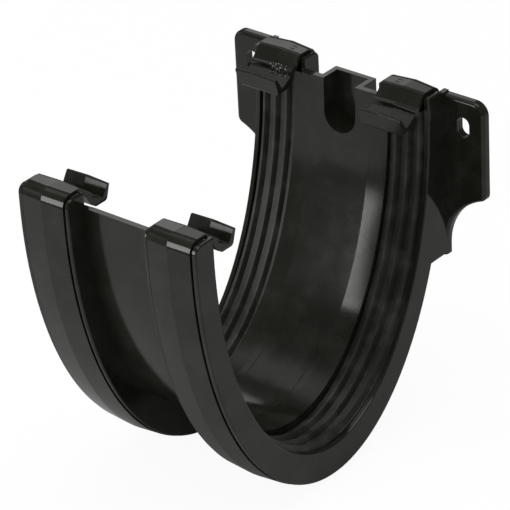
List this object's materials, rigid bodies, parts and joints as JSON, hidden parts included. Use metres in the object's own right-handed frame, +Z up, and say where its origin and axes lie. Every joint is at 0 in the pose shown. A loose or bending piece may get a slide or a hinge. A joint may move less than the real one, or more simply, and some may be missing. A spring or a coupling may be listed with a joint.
{
  "type": "gutter union bracket",
  "caption": "U-shaped moulded bracket that joins gutter ends and fixes them to a fascia, with clip straps, ribbed seals and slotted ears.",
  "frame": {"origin": "on the wall plane, midway between the centres of the fixing slots", "axes": "+X along the gutter to the right-hand end, +Y towards the wall, +Z up"},
  "size_m": [0.1152, 0.1439, 0.129],
  "materials": {
    "body": "satin-gloss moulded black PVC-U",
    "straps": "satin-gloss moulded black PVC-U",
    "seals": "moulded black EPDM rubber"
  },
  "bodies": {
    "root": {"bracket_body": "body", "clip_strap_right": "straps", "clip_strap_left": "straps", "seal_right": "seals", "seal_left": "seals"}
  },
  "joints": []
}
